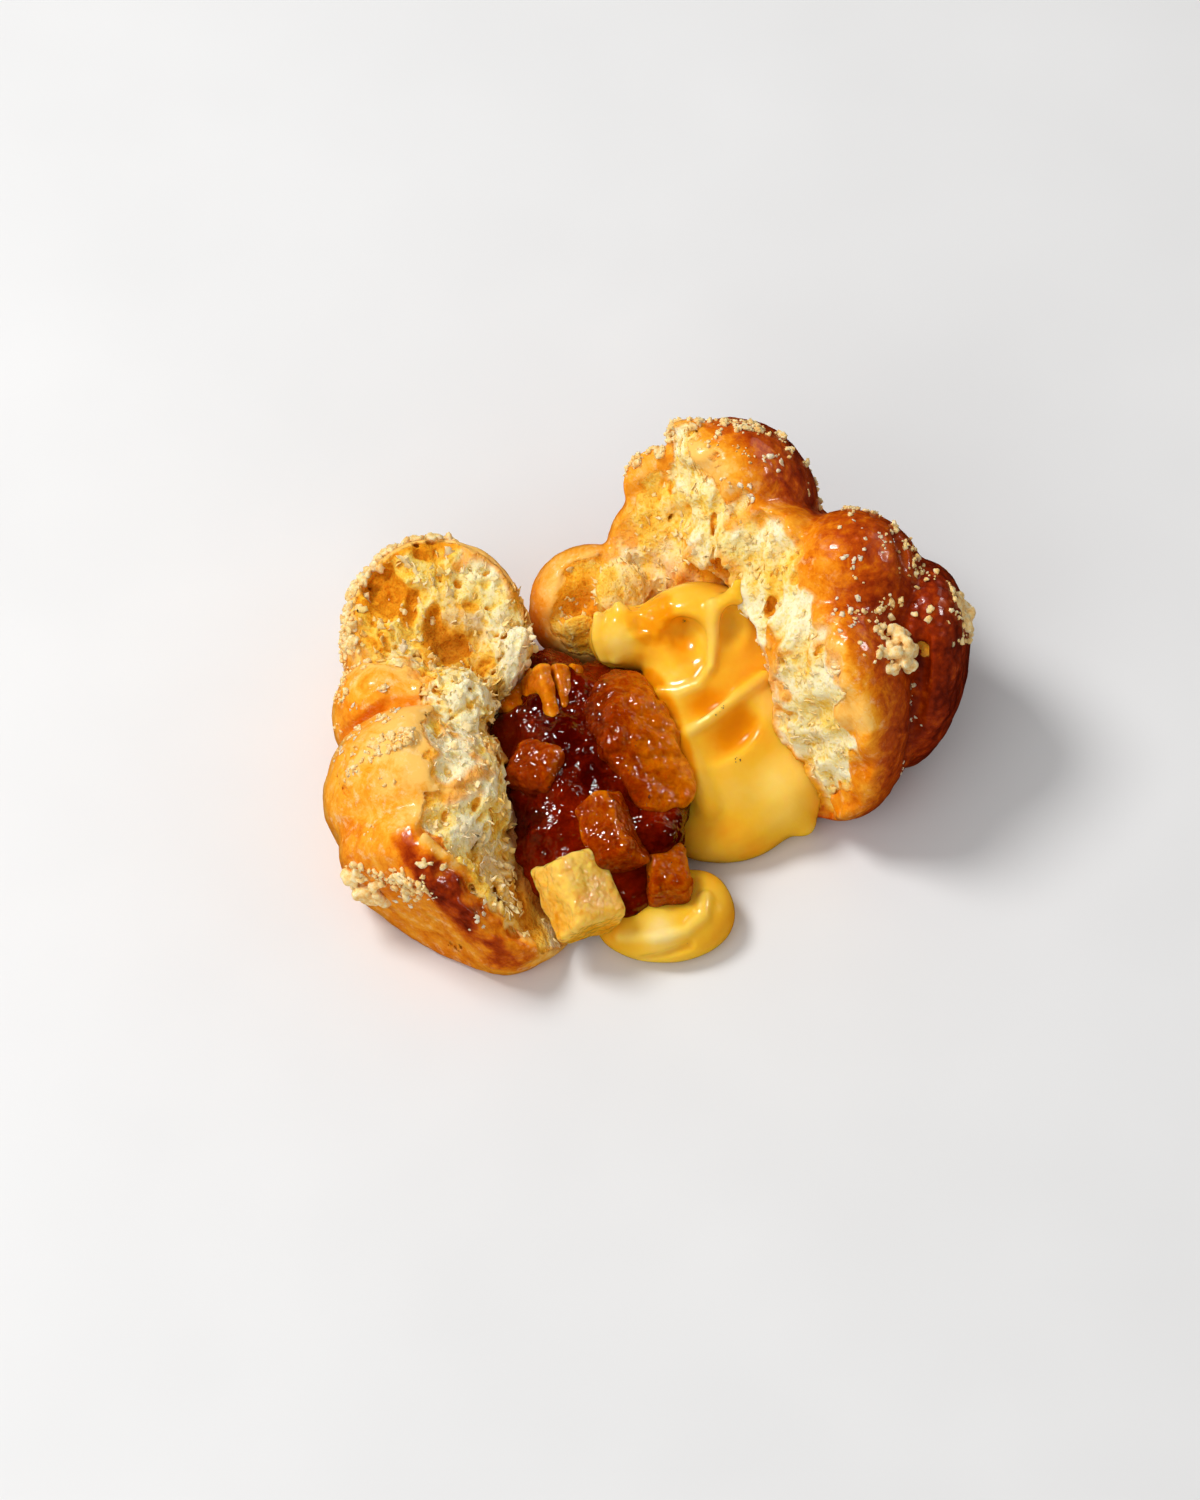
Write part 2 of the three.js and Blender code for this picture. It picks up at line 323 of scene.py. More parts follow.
TOP_TEARS = [((22, 28.6, 51), (-0.52, -0.7, 0.5)), ((9, 40, 48), (-0.97, -0.2, 0.1))]
SIDE_TEAR = ((37, -4, 47), (-0.8, -0.35, 0.48))
WALL_TEAR = ((0, 40, 32), (-0.1, -0.75, 0.66))
RIGHT_LOBES = {
    "top": dict(centre=(18, 38, 35), radii=(18, 17, 20), bake=0.75, tears=TOP_TEARS),
    "top corner": dict(centre=(10, 44, 36), radii=(9, 9, 17), bake=0.5, tears=TOP_TEARS),
    "front": dict(
        centre=(40, -1, 23), radii=(16, 23, 27), bake=0.75,
        tears=[SIDE_TEAR, ((39, -17, 22), (-0.66, -0.73, 0.18))],
    ),
    "front top": dict(centre=(42, 16, 33.5), radii=(16, 16, 22), bake=0.66, tears=[SIDE_TEAR]),
    "outer": dict(centre=(54.5, 9, 21.5), radii=(11, 19.5, 24.5), tilt=(0, 9, 0), bake=0.86),
    "middle": dict(
        centre=(26, 20, 28), radii=(20, 18, 24), bake=0.6,
        tears=[((34, 15, 49), (-0.55, -0.5, 0.67))],
    ),
    "back wall": dict(centre=(6, 38, 18), radii=(13, 12, 19), bake=0.5, tears=[WALL_TEAR]),
    "wall top": dict(centre=(3, 44, 34), radii=(6.5, 6, 11), bake=0.45, tears=[WALL_TEAR]),
    "back left": dict(
        centre=(-9, 30, 11), radii=(14, 12, 15), bake=0.34,
        tears=[((-9, 27.5, 18), (0.3, -0.72, 0.62))],
    ),
    "heel": dict(centre=(22, 37, 14), radii=(22, 17, 19), bake=0.7),
    "back right": dict(centre=(41, 31, 15), radii=(15, 14, 17), bake=0.75),
    "base": dict(centre=(26, 12, 5), radii=(32, 30, 10), bake=0.6),
}
RIGHT_HOLLOW = ((6, -8, 26), (21, 36, 22))
# A groove deepens the crease between two lobes.
RIGHT_GROOVES = [
    [(51, 19, 50.5), (53.2, 11, 50), (55.6, 1.5, 44.5), (55.4, -7, 34), (54, -12.5, 23), (52, -15.5, 10)],
    [(33, 37, 36), (30.5, 31, 43)],
]
RIGHT_TUFTS = [
    ((19, 26, 40), (5, 5, 6)),
    ((30, 4, 38), (5, 6, 6)),
    ((-4, 26.5, 21), (5.5, 6, 7.5)),
    ((-11.5, 20, 15), (5, 3.6, 6.5)),
]
RIGHT_PATCHES = [
    ((31, 7, 41), 8, 3.5), ((28, 14, 43), 6, 3.0), ((-4, 25, 24), 8, 3.0), ((-12, 18, 17), 7, 3.0),
    ((42.5, -16, 38), 6, -7),
    ((8.5, 42, 47), 6.5, 3.0), ((5, 38, 44), 5, 2.0),
    ((0, 47, 40), 7.5, -4), ((-5, 43, 32), 5, -3),
    ((45.5, -21, 16), 8.5, -5), ((44, -21, 28), 6, -3),
    ((12, 38, 49.5), 4.5, -2.5), ((18, 33, 50.5), 4, -2.5),
]
RIGHT_ROOT = (6, -8, 4)
RIGHT_POCKETS = [
    (1.0, (13, 26, 30), (4.2, 3.6, 4.2)),
    (1.0, (17, 21.5, 36), (3, 3.4, 3.6)),
    (1.0, (4.5, 31.5, 27), (2.4, 2.2, 2.4)),
    (1.0, (8.5, 29.5, 31.5), (2.2, 2.4, 2)),
    (1.0, (26, 10.5, 38), (1.8, 2.4, 1.8)),
]

LOBE_BLEND = 1.6  # how far the crease between two lobes is rounded
TEAR_BLEND = 1.2
TABLE_BLEND = 1.5
FLAT_BLEND = 6.0
GROOVE_RADIUS = 1.6
GROOVE_BLEND = 1.5
TUFT_BLEND = 3.0
RIM_RADIUS = 0.9
SHALLOW = 0.5  # dents in the crust no deeper than this don't break it
CRUMB_REACH = 4.2  # the crumb opens up within this of the plain surface
PORES = [(3.4, 1.0, 1.3, 7), (1.5, 0.5, 0.8, 8)]  # how far apart, how wide and how deep, and a salt


def plain_bread(p, half):
    """The half's surface before its crumb opens up, and the distance from the bun's whole skin."""
    rough = unevenness(p, 4.0)
    body = whole = None
    for shape in half["lobes"].values():
        skin = ellipsoid(p, shape["centre"], shape["radii"], shape.get("tilt"))
        for point, facing in shape.get("flats", ()):
            skin = trim(skin, beyond(p, point, facing), FLAT_BLEND)
        torn = skin
        for point, facing in shape.get("tears", ()):
            torn = trim(torn, beyond(p, point, facing) + rough, TEAR_BLEND)
        blend = shape.get("blend", LOBE_BLEND)
        whole = skin if whole is None else join(whole, skin, blend)
        body = torn if body is None else join(body, torn, blend)
    for path in half["grooves"]:
        crease = stroke(p, path, GROOVE_RADIUS)
        whole = cut(whole, crease, GROOVE_BLEND)
        body = cut(body, crease, GROOVE_BLEND)
    body = cut(body, ellipsoid(p, *half["hollow"]) + 0.7 * rough, TEAR_BLEND)
    for tuft in half["tufts"]:
        body = join(body, ellipsoid(p, *tuft), TUFT_BLEND)
    body = trim(body, whole - 0.2, 0.8)
    for path in half["rims"]:
        body = join(body, stroke(p, path, RIM_RADIUS), 1.0)
    above = -p[:, 2]
    return trim(body, above, TABLE_BLEND), trim(whole, above, TABLE_BLEND)


def skin_depth(p, whole, patches):
    """How far a point counts as being under the bun's crust, whose torn edge wanders."""
    wander = 1 + 0.9 * noise(p, 5.0, 12) + 0.6 * noise(p, 1.8, 15)
    shallow = np.minimum(-whole, SHALLOW)
    depth = shallow + (-whole - shallow) * np.clip(wander, 0.15, 2.2)
    for centre, radius, shift in patches:
        far = away(p, centre, radius) + 0.25 * noise(p, 2.6, 16)
        depth = depth + shift * (1 - step(0.75, 1.05, far))
    return depth


def fanned(p, root):
    """Coordinates in which the crumb's fibres, which fan out from root, are short."""
    drift = np.stack([noise(p, 3.1, s) for s in (1, 2, 3)], axis=1)
    offset = p + 1.2 * drift - at(root)
    far = norms(offset) + 1e-3
    return offset * ((13 + 0.35 * far) / far)[:, None]


def crumb(p, body, whole, half):
    """Opens the torn surface into tufts, pores and pockets, and blisters the crust a little."""
    open_air = half["open_air"]
    crumby = step(0.2, 1.0, skin_depth(p, whole, half["patches"]))
    fan = fanned(p, half["root"])
    tufts = 1.1 * noise(fan, 5.2, 4) + 0.5 * crests(fan, 2.4, 5) + 0.55 * noise(fan, 1.3, 6)
    tufts += 0.35 * noise(fan, 0.75, 46)
    for centre, radius in half["calm"]:
        open_air = open_air * (0.25 + 0.75 * step(0.7, 1.1, away(p, centre, radius)))
    torn = body + crumby * (0.3 - open_air * tufts)
    for length, width, depth, salt in PORES:
        near, _ = cells(fan, length, salt)
        radius = width * (0.25 + 1.5 * noise(p, 3.0, salt + 40)) * open_air
        pit = np.maximum(near - radius, -(torn + depth))
        torn = cut(torn, pit + 3 * (1 - crumby), 0.5)
    frayed = noise(p, 3.4, 9) + 0.5 * noise(p, 1.6, 47)
    for ragged, *pocket in half["pockets"]:
        torn = cut(torn, ellipsoid(p, *pocket) + ragged * frayed, 0.6)
    blister = 0.28 * noise(p, 6.5, 10) + 0.14 * noise(p, 2.4, 11) + 0.07 * noise(p, 1.1, 17)
    return trim(torn + (1 - crumby) * blister, -p[:, 2], 0.4)


def bread(half):
    """The half's whole field. Crumb is worked out only near the surface, where it matters."""

    def field(p):
        body, whole = plain_bread(p, half)
        close = np.abs(body) < CRUMB_REACH
        if close.any():
            body[close] = crumb(p[close], body[close], whole[close], half)
        return body

    return field


# Each half. open_air is how coarse its crumb is, calm where it is finer, and golden how much of it is
# browned in streaks. Spots and toast are centre, radius and strength: where the crust is baked more or
# less, and where the crumb is toasted or soaked with custard or jam.
LEFT = dict(
    lobes=LEFT_LOBES, grooves=LEFT_GROOVES, hollow=LEFT_HOLLOW, root=LEFT_ROOT, pockets=LEFT_POCKETS,
    tufts=LEFT_TUFTS, rims=LEFT_RIMS, patches=LEFT_PATCHES, open_air=1.0,
    toast=[
        ((-46, 18, 32), 15, 0.32), ((-51.5, 18, 29), 7.5, 0.5), ((-47, 16, 27), 4.6, 0.6),
        ((-37, 10, 24), 8, 0.4), ((-45, 29, 35), 6, 0.5), ((-45, -24, 31), 5, 0.55),
        ((-26, -46, 14), 12, 0.35), ((-33, -42, 24), 6, 0.3),
    ],
    calm=[], golden=0.34,
    bake_spots=[
        ((-43, -43, 31), 7, 0.4), ((-39, -46, 28), 7, 0.42), ((-35, -49, 24), 7, 0.42),
        ((-30, -52, 19), 7, 0.42), ((-24.5, -54, 12), 7, 0.42),
    ],
    custard_spots=[],
    jam_spots=[
        ((-36.5, 12, 26), 6.5, 0.42), ((-31, 1, 20), 5, 0.45),
        ((-27, -44, 13), 9, 0.4), ((-34, -38, 18), 5, 0.35),
    ],
)
RIGHT = dict(
    lobes=RIGHT_LOBES, grooves=RIGHT_GROOVES, hollow=RIGHT_HOLLOW, root=RIGHT_ROOT, pockets=RIGHT_POCKETS,
    tufts=RIGHT_TUFTS, rims=[], patches=RIGHT_PATCHES, open_air=0.75,
    toast=[
        ((2, 40, 33), 9, 0.35), ((12, 28, 32), 7, 0.3), ((-13, 28, 18), 9.5, 0.55), ((-11, 19, 16), 5, 0.35),
        # The faint last spot warms the crumb of the shaded wall: painted warm light.
        ((33, -8, 30), 17, 0.08),
    ],
    calm=[((-14, 29, 18), 10)], golden=0.2,
    bake_spots=[((42.5, -16, 38), 7, -0.16), ((15, 35, 52), 7, -0.2)],
    custard_spots=[
        ((12, 26, 30), 6.5, 0.8), ((17, 20, 36), 5, 0.85), ((3, 28, 26), 5, 0.6), ((24, 8, 28), 4.5, 0.7),
    ],
    jam_spots=[((4.5, 31.5, 27), 3, 0.35)],
)


def field_piece(name, field, low, high, voxel, budget, keep=None):
    """Meshes a field and thins its faces down to a budget. keep(points) is high where detail stays."""
    grid = sample(field, low, high, voxel)
    points, triangles, quads = surface(grid, low, voxel)
    piece = new_mesh(name, points, triangles, quads)
    faces = len(triangles) + 2 * len(quads)
    if faces > budget:
        thin = piece.modifiers.new("thin", "DECIMATE")
        thin.ratio = budget / faces
        if keep is not None:
            group = piece.vertex_groups.new(name="smooth")
            weights = 1 - keep(points)
            for level in range(1, 5):
                chosen = np.flatnonzero(np.round(weights * 4) == level)
                group.add(chosen.tolist(), level / 4, "REPLACE")
            thin.vertex_group = "smooth"
            thin.vertex_group_factor = 0.3
        bpy.context.view_layer.update()
        graph = bpy.context.evaluated_depsgraph_get()
        thinned = bpy.data.meshes.new_from_object(piece.evaluated_get(graph))
        old = piece.data
        piece.modifiers.clear()
        piece.vertex_groups.clear()
        piece.data = thinned
        bpy.data.meshes.remove(old)
        piece.data.name = name
    return piece


def at_vertices(piece, what):
    values = np.empty(len(piece.data.vertices) * 3, np.float32)
    piece.data.vertices.foreach_get(what, values)
    return values.reshape(-1, 3)


def vertices(piece):
    """The piece's points in millimetres."""
    return at_vertices(piece, "co") / MM


def store(piece, name, values):
    layer = piece.data.attributes.new(name, "FLOAT", "POINT")
    layer.data.foreach_set("value", np.asarray(values, np.float32))


# ---------------- the fillings' shapes

# Mounds are ellipsoids: centre, radii and tilt.
CUSTARD_MOUNDS = [
    ((17, -2.5, 12), (18, 25, 11), (28, 0, 8)),
    ((12, 16, 23), (13, 9, 11)),
    ((-3.5, 15.5, 21), (7, 6, 8)),
    ((29.5, -13.5, 8), (7, 7.5, 8)),
    ((15, -20, 5), (12, 6.5, 5)),
]
# Ridges that the spoon left, each a path and its radius at either end, and scoops, which are cut out.
CUSTARD_RIDGES = [
    ([(17, 14, 32), (19, 15.5, 35.5), (19.6, 17, 37.5)], 3.2, 1.2),
    ([(30, -17, 8), (33, -19.5, 5.5)], 3.2, 1.8),
    ([(8, -8, 19.4), (10, -14, 17.4), (13.5, -20, 12.8)], 2.2, 1.6),
]
CUSTARD_SCOOPS = [
    ((8.6, 6.5, 31.5), (5.4, 8, 5), (-28, 0, 0)),
    ((10.5, -3.8, 26.6), (8.5, 3.4, 4.8), (0, 0, 20)),
    ((18.6, 8, 33.5), (3.4, 8, 5), (-30, 0, 0)),
    ((16, -8.8, 24.2), (9.5, 3.4, 6.4), (-25, 0, 35)),
]
# Sharp crests on the custard: the scoop's rim, two smears on the back wall, and a long fold.
CUSTARD_CRESTS = [
    (
        [
            (14.4, 14.5, 34.6), (14.6, 9.1, 29.8), (14.2, 4.4, 27.4),
            (11.7, 1.3, 25.4), (7.6, 0.4, 23.8), (3.6, 1.4, 22.6),
        ],
        0.7, 0.5,
    ),
    ([(-8.6, 16.5, 27.5), (-8.8, 13, 24.5), (-7.4, 10.6, 21)], 0.9, 0.7),
    ([(-4.4, 18.4, 28.2), (-2.6, 15.8, 27), (-3.6, 11.4, 23.6), (-5, 10, 21.5)], 0.9, 0.7),
    ([(8.4, -8.2, 20.8), (13.5, -5.6, 23), (18.9, -1.8, 24.8), (24.9, 3.4, 25.2)], 0.6, 1.1),
]
# Where the custard is thin and palest: centre and radius.
PALE_SPOTS = [((29.5, -14, 13), 9), ((26, -2, 24), 6), ((-4, 12, 25), 5), ((4, -46, 7), 5)]
FILM = ((3.4, 15, 28), (7.4, 6.5, 6))  # where spongy crumb shows through the custard

DOLLOP_MOUNDS = [
    ((4.2, -40.5, 3.5), (13.5, 10, 5.5)),
    ((11, -38.5, 4.5), (7, 8, 5)),
]
DOLLOP_HOLLOW = ((7, -37, 13), (7, 6, 5))
DOLLOP_CREST = (
    [(-4, -46.5, 6.4), (3, -47.6, 7.6), (9, -46.4, 8.4), (12.4, -43.4, 9.2), (12.8, -39.4, 9.6)], 0.5, 1.0,
)
DOLLOP_CREASE = ([(0.5, -50.2, 3.8), (4.5, -50, 5), (9.5, -48.4, 6)], 0.5, 0.9)

COMPOTE_MOUNDS = [
    ((-10, -15, 10.5), (20, 30, 11.5), (6, 0, 0)),
    ((-18, 1.5, 11.5), (10, 16, 9)),
    ((2.5, -26.5, 14), (5, 6, 6)),
]
LUMP_MOUNDS = [
    ((-3, -1.5, 19.5), (8.5, 9.5, 7.5)),
    ((-0.5, -10.5, 20.5), (8, 9, 7.5)),
    ((3.5, -18, 19.5), (6.5, 8.5, 7)),
]
# Diced apple: stew is how far it has taken on the colour of the syrup, cuts are gaps between slices.
APPLE = {
    "apple_dice_front": dict(
        centre=(-12, -40.8, 13.4), size=(12.4, 15.6, 10.5), tilt=(24, 18, 30), stew=0.16,
    ),
    "apple_dice_middle": dict(
        centre=(-5.9, -29.6, 18), size=(9.2, 16, 10), tilt=(12, -36, 12), stew=0.86, rounding=2.0,
    ),
    "apple_dice_left": dict(
        centre=(-20, -14.8, 16.5), size=(12, 12, 12), tilt=(10, -15, -25), stew=0.94, rounding=2.8,
    ),
    "apple_dice_right": dict(
        centre=(5, -34.8, 10.5), size=(9.6, 12.5, 11), tilt=(4, 6, 8), stew=0.82, rounding=2.6,
    ),
    "apple_slice_back": dict(
        centre=(-16.8, 2.6, 17), size=(11.4, 14, 10), tilt=(15, 25, 20), stew=0.66, cuts=2,
    ),
    "apple_sliver_back": dict(
        centre=(-24, 5, 13), size=(8, 12, 10), tilt=(0, 20, -30), stew=0.7,
    ),
}
DICE_TAPER = 0.14
DICE_ROUNDING = 1.3
CLUMPS = {
    "crumble_clump_ridge": ((50, -3, 43), (5.5, 6, 4.5)),
    "crumble_clump_right": ((62.5, 10, 35.5), (4.5, 6.5, 6.5)),
    "crumble_clump_left": ((-53, -38, 14), (6.5, 5.5, 5.5)),
}
CLUMP_GRANULES = 90

FOOT_BLEND = 0.8  # where a filling meets the table
MOUND_BLEND = 4.0
LUMP_BLEND = 5.0
RIDGE_BLEND = 3.0
SCOOP_BLEND = 1.8
CREST_BLEND = 1.6
GRANULE_BLEND = 0.35


def mounds(p, shapes, blend):
    """Ellipsoids joined into one."""
    whole = None
    for shape in shapes:
        one = ellipsoid(p, *shape)
        whole = one if whole is None else join(whole, one, blend)
    return whole


def plain_custard(p):
    return mounds(p, CUSTARD_MOUNDS, MOUND_BLEND)


def custard(p):
    body = plain_custard(p) + 0.25 * noise(p, 7.0, 21) + 0.1 * noise(p, 3.0, 22)
    for ridge in CUSTARD_RIDGES:
        body = join(body, stroke(p, *ridge), RIDGE_BLEND)
    for scoop in CUSTARD_SCOOPS:
        body = cut(body, ellipsoid(p, *scoop), SCOOP_BLEND)
    for crest in CUSTARD_CRESTS:
        body = join(body, stroke(p, *crest), CREST_BLEND)
    sponge = step(1.0, -1.5, ellipsoid(p, *FILM))
    near, after = cells(p, 2.2, 23)
    body = body + sponge * (0.3 + 0.3 * noise(p, 1.6, 24) - 0.2 * np.minimum(after - near, 0.9))
    return trim(body, -p[:, 2], FOOT_BLEND)


def dollop(p):
    body = mounds(p, DOLLOP_MOUNDS, MOUND_BLEND) + 0.2 * noise(p, 6.0, 25)
    body = cut(body, ellipsoid(p, *DOLLOP_HOLLOW), 1.5)
    body = join(body, stroke(p, *DOLLOP_CREST), 2.0)
    body = cut(body, stroke(p, *DOLLOP_CREASE), 1.0)
    return trim(body, -p[:, 2], FOOT_BLEND)


def plain_compote(p):
    return mounds(p, COMPOTE_MOUNDS, MOUND_BLEND)


def compote(p):
    body = plain_compote(p) + 1.5 * noise(p, 8.0, 26) + 0.9 * noise(p, 3.8, 27) + 0.45 * noise(p, 1.6, 28)
    return trim(body, -p[:, 2], FOOT_BLEND)


def apple_lump(p):
    body = mounds(p, LUMP_MOUNDS, LUMP_BLEND) + 1.2 * noise(p, 6.5, 29) + 0.4 * noise(p, 3.0, 31)
    body = trim(body, beyond(p, (0, -10, 26), (0.25, -0.3, 0.9)), 2.0)
    return body + 0.6 * crests(p, 5.0, 30) - 0.3 + 0.2 * noise(p, 1.5, 32)


def dice(shape):
    rounding = shape.get("rounding", DICE_ROUNDING)

    def field(p):
        uneven = 0.4 * math.sqrt(rounding) * noise(p, 5.0, 33)
        uneven += 0.3 * noise(p, 2.4, 34) + 0.22 * noise(p, 1.2, 39)
        body = rounded_box(p, shape["centre"], shape["size"], shape["tilt"], DICE_TAPER, rounding)
        body += uneven
        local = (p - at(shape["centre"])) @ turn(shape["tilt"])
        for i in range(shape.get("cuts", 0)):
            middle = shape["size"][0] * ((i + 1) / (shape["cuts"] + 1) - 0.5)
            aside = np.abs(local[:, 0] - middle - 0.7 * noise(p, 5.0, 35))
            body = cut(body, np.maximum(aside - 0.35, 1.5 - local[:, 2]), 0.8)
        return body

    return field


def clump(centre, radii, rng):
    """A rough heap of granules that fills an ellipsoid."""
    spread = rng.normal(size=(CLUMP_GRANULES, 3))
    reach = rng.uniform(0, 1, (CLUMP_GRANULES, 1)) ** 0.4 * 0.86
    spread *= reach / np.linalg.norm(spread, axis=1, keepdims=True)
    middles = at(centre) + spread * np.array(radii)
    sizes = rng.uniform(0.65, 1.45, CLUMP_GRANULES)

    def field(p):
        body = np.full(len(p), 1e3, np.float32)
        for middle, size in zip(middles, sizes):
            gap = p - middle.astype(np.float32)
            body = join(body, norms(gap) - np.float32(size), GRANULE_BLEND)
        return body + 0.3 * noise(p, 0.9, 36) + 0.15 * noise(p, 0.5, 37)

    return field


# ---------------- materials


class Look:
    """A node material whose Principled shader's sockets are set by name, with _ for a space."""

    def __init__(self, name, **values):
        self.material = bpy.data.materials.new(name)
        self.material.use_nodes = True
        self.tree = self.material.node_tree
        self.tree.nodes.clear()
        self.shader = self.node("ShaderNodeBsdfPrincipled")
        output = self.node("ShaderNodeOutputMaterial")
        self.tree.links.new(self.shader.outputs["BSDF"], output.inputs["Surface"])
        self.place = self.node("ShaderNodeTexCoord").outputs["Object"]
        for socket, value in values.items():
            self.set(socket.replace("_", " "), value)

    def node(self, kind, inputs=(), **settings):
        """A new node. inputs says what feeds its sockets: numbers, colours or other nodes' sockets."""
        made = self.tree.nodes.new(kind)
        for key, value in settings.items():
            setattr(made, key, value)
        for socket, source in dict(inputs).items():
            self.feed(made.inputs[socket], source)
        return made

    def feed(self, socket, source):
        if isinstance(source, bpy.types.NodeSocket):
            self.tree.links.new(source, socket)
        else:
            socket.default_value = rgba(source) if isinstance(source, str) else source

    def set(self, name, source):
        self.feed(self.shader.inputs[name], source)

    def attribute(self, name):
        return self.node("ShaderNodeAttribute", attribute_name=name).outputs["Fac"]

    def grain(self, size, detail=3.0, roughness=0.55, distortion=0.0):
        """A noise from 0 to 1 whose bumps are about size millimetres apart."""
        inputs = dict(Vector=self.place, Scale=1 / (size * MM))
        inputs.update(Detail=detail, Roughness=roughness, Distortion=distortion)
        return self.node("ShaderNodeTexNoise", inputs).outputs["Fac"]

    def dots(self, size, smooth=0.4):
        """Distance from the nearest of scattered points, as a share of size millimetres."""
        inputs = dict(Vector=self.place, Scale=1 / (size * MM), Smoothness=smooth)
        return self.node("ShaderNodeTexVoronoi", inputs, feature="SMOOTH_F1").outputs["Distance"]

    def math(self, operation, a, b):
        return self.node("ShaderNodeMath", {0: a, 1: b}, operation=operation).outputs[0]

    def add(self, a, b):
        return self.math("ADD", a, b)

    def less(self, a, b):
        return self.math("SUBTRACT", a, b)

    def times(self, a, b):
        return self.math("MULTIPLY", a, b)

    def wander(self, source, amount):
        """A 0-to-1 noise turned into one that goes amount above and below 0."""
        return self.times(self.less(source, 0.5), 2 * amount)

    def span(self, source, low, high, start=0.0, end=1.0):
        """Goes smoothly from start to end as source goes from low to high."""
        inputs = {"Value": source, "From Min": low, "From Max": high, "To Min": start, "To Max": end}
        made = self.node("ShaderNodeMapRange", inputs, interpolation_type="SMOOTHSTEP")
        return made.outputs["Result"]

    def colour(self, source, *stops):
        self.set("Base Color", self.ramp(source, *stops))

    def ramp(self, source, *stops):
        """Colours along source: each stop is a place from 0 to 1 and a colour."""
        made = self.node("ShaderNodeValToRGB", {"Fac": source})
        elements = made.color_ramp.elements
        while len(elements) < len(stops):
            elements.new(0.5)
        for element, (place, colour) in zip(elements, stops):
            element.position = place
            element.color = rgba(colour)
        return made.outputs["Color"]

    def mix(self, share, a, b):
        made = self.node("ShaderNodeMix", {"Factor": share}, data_type="RGBA")
        first, second = [s for s in made.inputs if s.type == "RGBA"]
        self.feed(first, a)
        self.feed(second, b)
        return [s for s in made.outputs if s.type == "RGBA"][0]

    def bump(self, height, distance, onto=None):
        """Relief of the given distance, in millimetres, from a height of 0 to 1."""
        inputs = dict(Strength=1.0, Distance=distance * MM, Height=height)
        if onto is not None:
            inputs["Normal"] = onto
        return self.node("ShaderNodeBump", inputs).outputs["Normal"]


def rgba(text):
    """The linear colour of a hex colour."""
    parts = [int(text[i:i + 2], 16) / 255 for i in (0, 2, 4)]
    return [c / 12.92 if c <= 0.04045 else ((c + 0.055) / 1.055) ** 2.4 for c in parts] + [1.0]


def glow(look, weight, scale, radii):
    """Light that soaks in and comes out again, up to scale millimetres away."""
    look.set("Subsurface Weight", weight)
    look.set("Subsurface Scale", scale * MM)
    look.set("Subsurface Radius", radii)


# Crumb from pale cream to deep amber. The deep end colours toasted and soaked crumb, and painted shade in
# hollows and pores.
CRUMB_COLOURS = [(0.0, "FFECC2"), (0.2, "FFE39C"), (0.45, "FFCE58"), (0.75, "F8B02A"), (1.0, "D88410")]


def bread_look():
    look = Look("bread", Specular_IOR_Level=0.05, Coat_Roughness=0.16)
    crust = look.attribute("crust")
    glow(look, look.span(crust, 0, 1, 0.7, 0.0), 1.0, (1.0, 0.86, 0.62))
    bake = look.attribute("bake")
    tone = look.add(bake, look.wander(look.grain(7.0, 5.0, 0.62, 1.2), 0.42))
    tone = look.add(tone, look.wander(look.grain(1.5, 4.0, 0.62, 1.6), 0.18))
    bubbles = look.dots(1.7, 0.3)
    tone = look.add(tone, look.times(look.less(bubbles, 0.45), look.times(bake, 0.3)))
    skin = look.ramp(
        tone,
        (0.0, "FFC460"), (0.2, "FBA424"), (0.4, "E87C02"), (0.6, "C04A00"), (0.8, "922800"), (1.0, "641400"),
    )
    flour = look.span(look.grain(2.2, 5.0, 0.7), 0.52, 0.7)
    dusty = look.times(flour, look.span(bake, 0.15, 0.62, 0.55, 0.0))
    skin = look.mix(dusty, skin, "FFE0A4")
    pores = look.span(look.dots(1.3, 0.15), 0.1, 0.55)
    pinholes = look.span(look.dots(0.6, 0.1), 0.1, 0.55)
    foam = look.add(look.times(pores, 0.6), look.times(pinholes, 0.4))
    # The attribute deep holds toasting, soaking and streaks, and painted shade in the crumb's hollows.
    paleness = look.add(look.attribute("deep"), look.wander(look.grain(1.3, 4.0, 0.65), 0.22))
    # Deeper amber at the centres of pores: painted shade in the pits.
    paleness = look.add(paleness, look.times(look.less(0.8, foam), 0.3))
    fluff = look.ramp(paleness, *CRUMB_COLOURS)
    fluff = look.mix(look.attribute("under"), fluff, "F4A21C")
    fluff = look.mix(look.attribute("custardy"), fluff, "F0A41C")
    fluff = look.mix(look.attribute("jammy"), fluff, "8E3A0C")
    look.set("Base Color", look.mix(crust, fluff, skin))
    wet = look.math("MAXIMUM", look.attribute("custardy"), look.attribute("jammy"))
    dull = look.span(crust, 0.0, 1.0, 0.8, 0.38)
    look.set("Roughness", look.math("MINIMUM", dull, look.span(wet, 0, 1, 0.8, 0.3)))
    look.set("Coat Weight", look.span(crust, 0.2, 1.0, 0.0, 0.5))
    depth = look.span(crust, 0.0, 1.0, 1.0, 0.1)
    foamy = look.bump(look.times(foam, depth), 0.3)
    grit = look.times(look.grain(0.7, 4.0, 0.6), look.span(crust, 0.0, 1.0, 1.0, 0.4))
    fine = look.bump(grit, 0.18, foamy)
    blisters = look.times(bubbles, look.times(crust, bake))
    look.set("Normal", look.bump(blisters, 0.35, fine))
    look.set("Coat Normal", look.bump(blisters, 0.2))
    return look.material


def shred_look():
    """Crumb in leaves too thin for light to soak into."""
    look = Look("torn crumb", Roughness=0.8, Specular_IOR_Level=0.15)
    # Here deep is painted shade alone: leaves rooted deeper in the crumb are a deeper amber.
    paleness = look.add(look.attribute("deep"), look.wander(look.grain(0.9, 4.0, 0.65), 0.3))
    look.colour(paleness, *CRUMB_COLOURS)
    look.set("Normal", look.bump(look.grain(0.5, 3.0, 0.6), 0.2))
    return look.material


